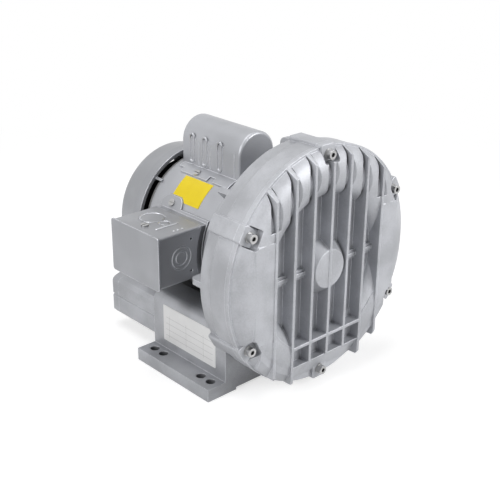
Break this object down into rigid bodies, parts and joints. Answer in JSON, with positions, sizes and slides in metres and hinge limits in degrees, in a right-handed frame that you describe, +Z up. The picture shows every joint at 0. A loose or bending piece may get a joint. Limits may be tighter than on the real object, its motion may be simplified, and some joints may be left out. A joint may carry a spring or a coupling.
{
  "type": "side channel blower",
  "caption": "Single-stage regenerative blower with finned round impeller cover, cast base, muffler box, fan-cooled motor, conduit box and capacitor cover.",
  "frame": {"origin": "centre of the foot hole pattern, on the mounting plane", "axes": "+Z up from the mounting plane, +Y along the shaft from the impeller cover to the motor fan, +X to the side away from the conduit box"},
  "size_m": [0.2365, 0.2465, 0.242],
  "materials": {
    "cast_paint": "satin silver-grey paint on die-cast aluminium",
    "cover_paint": "satin silver-grey paint on rougher die-cast aluminium",
    "sheet_paint": "satin grey paint on pressed steel",
    "zinc_steel": "bright zinc-plated steel",
    "bearing_steel": "ground and polished",
    "raw_aluminium": "as cast",
    "lamination": "stacked sheet edges, varnished",
    "copper": "enamelled winding wire, varnished",
    "black_plastic": "moulded",
    "capacitor_case": "smooth moulded case",
    "seal_rubber": "moulded",
    "gasket_sheet": "cut sheet",
    "foam": "open-cell foam",
    "board": "pressed phenolic board",
    "green_screw": "green-dyed"
  },
  "bodies": {
    "stationary": {"impeller_cover": "cover_paint", "cover_screws": "zinc_steel", "cover_washers": "zinc_steel", "blower_housing": "cast_paint", "base": "cast_paint", "base_screws": "zinc_steel", "muffler_gasket": "gasket_sheet", "muffler_box": "cast_paint", "muffler_end_plate": "cast_paint", "muffler_screws": "zinc_steel", "inlet_foam": "foam", "outlet_foam": "foam", "shaft_seal": "seal_rubber", "front_end_bell": "cast_paint", "motor_mounting_screws": "zinc_steel", "stator_core": "lamination", "stator_windings": "copper", "thermal_protector": "black_plastic", "motor_shell": "sheet_paint", "rear_end_bell": "raw_aluminium", "through_bolts": "zinc_steel", "bearing_wave_washer": "bearing_steel", "fan_cowl": "sheet_paint", "fan_cowl_screws": "zinc_steel", "capacitor_cover": "sheet_paint", "capacitor_cover_screws": "zinc_steel", "capacitor": "capacitor_case", "conduit_box_saddle": "sheet_paint", "conduit_box_mounting_screws": "zinc_steel", "conduit_box": "sheet_paint", "conduit_box_cover": "sheet_paint", "conduit_box_cover_screws": "zinc_steel", "terminal_board": "board", "ground_screw": "green_screw", "front_bearing_outer_ring": "bearing_steel", "rear_bearing_outer_ring": "bearing_steel"},
    "rotor": {"shaft": "bearing_steel", "impeller": "raw_aluminium", "impeller_key": "bearing_steel", "impeller_shims": "bearing_steel", "impeller_washer": "zinc_steel", "impeller_lock_nut": "zinc_steel", "rotor_core": "lamination", "rotor_cage": "raw_aluminium", "front_bearing_inner_ring": "bearing_steel", "rear_bearing_inner_ring": "bearing_steel", "cooling_fan": "black_plastic", "fan_clip": "bearing_steel"},
    "front_cage": {"front_bearing_balls": "bearing_steel", "front_bearing_cage": "zinc_steel"},
    "rear_cage": {"rear_bearing_balls": "bearing_steel", "rear_bearing_cage": "zinc_steel"}
  },
  "joints": [
    {"name": "rotor_spin", "type": "hinge", "parent": "stationary", "child": "rotor", "pos_m": [0, 0, 0.125], "axis": [0, 1, 0], "continuous": true},
    {"name": "front_cage_spin", "type": "hinge", "parent": "stationary", "child": "front_cage", "pos_m": [0, 0, 0.125], "axis": [0, 1, 0], "continuous": true},
    {"name": "rear_cage_spin", "type": "hinge", "parent": "stationary", "child": "rear_cage", "pos_m": [0, 0, 0.125], "axis": [0, 1, 0], "continuous": true}
  ],
  "couplings": [
    {"joint": "front_cage_spin", "follows": "rotor_spin", "ratio": 0.2982},
    {"joint": "rear_cage_spin", "follows": "rotor_spin", "ratio": 0.3}
  ]
}
